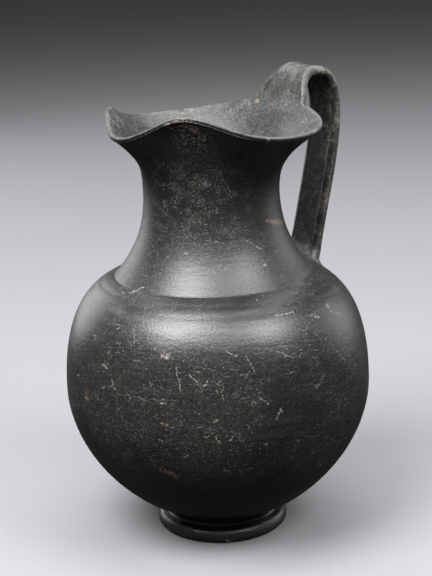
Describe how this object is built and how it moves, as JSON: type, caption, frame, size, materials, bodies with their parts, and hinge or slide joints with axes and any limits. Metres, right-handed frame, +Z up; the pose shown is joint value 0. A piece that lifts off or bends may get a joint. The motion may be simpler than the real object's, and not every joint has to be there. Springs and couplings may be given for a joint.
{
  "type": "bucchero oinochoe",
  "caption": "Black fired-clay wine jug with a round belly, waisted neck, trefoil pouring mouth, high strap handle and low foot ring.",
  "frame": {"origin": "on the ground, in the middle of the bounding box and of the foot ring", "axes": "+Z up along the jug's axis, +X towards the handle, -X towards the pouring spout"},
  "size_m": [0.181, 0.181, 0.2725],
  "materials": {
    "clay": "burnished satin black"
  },
  "bodies": {
    "root": {"oinochoe": "clay"}
  },
  "joints": []
}
